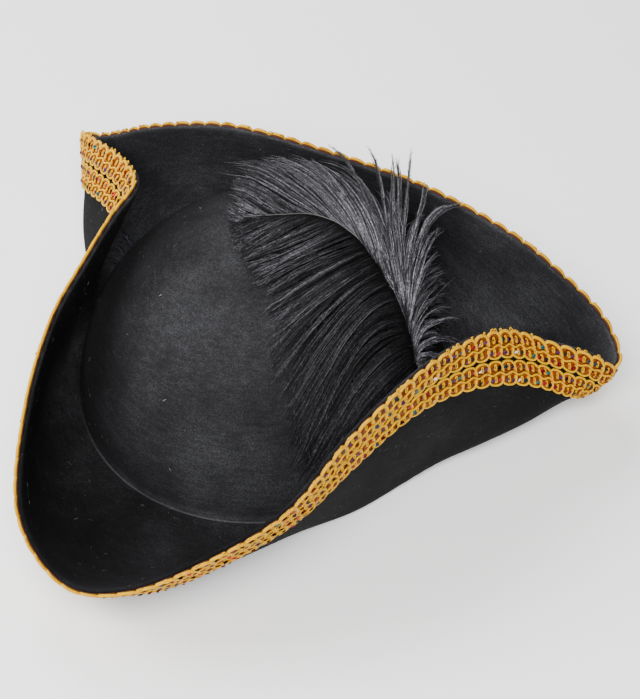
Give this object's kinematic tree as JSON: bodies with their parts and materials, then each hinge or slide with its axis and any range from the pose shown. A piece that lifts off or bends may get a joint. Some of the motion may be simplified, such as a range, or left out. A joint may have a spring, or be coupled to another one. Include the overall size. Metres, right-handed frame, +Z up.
{
  "type": "tricorn hat",
  "caption": "Black felt tricorn hat, brim turned up on three sides and edged outside with rows of scalloped gold braid, with a curled ostrich plume tucked in beside the crown",
  "frame": {"origin": "middle of the hat's box, on the surface that the crown's foot ring stands on", "axes": "+Z up, -Y towards the front point, +X towards the side that carries the plume"},
  "size_m": [0.3266, 0.2974, 0.1054],
  "materials": {
    "felt": "matt black pressed wool felt with a short nap",
    "braid": "golden yellow gimp braid with small iridescent sequins",
    "plume": "soft black ostrich feather with a slight sheen"
  },
  "bodies": {
    "root": {"felt_body": "felt", "braid_upper": "braid", "braid_lower": "braid", "plume": "plume"}
  },
  "joints": []
}
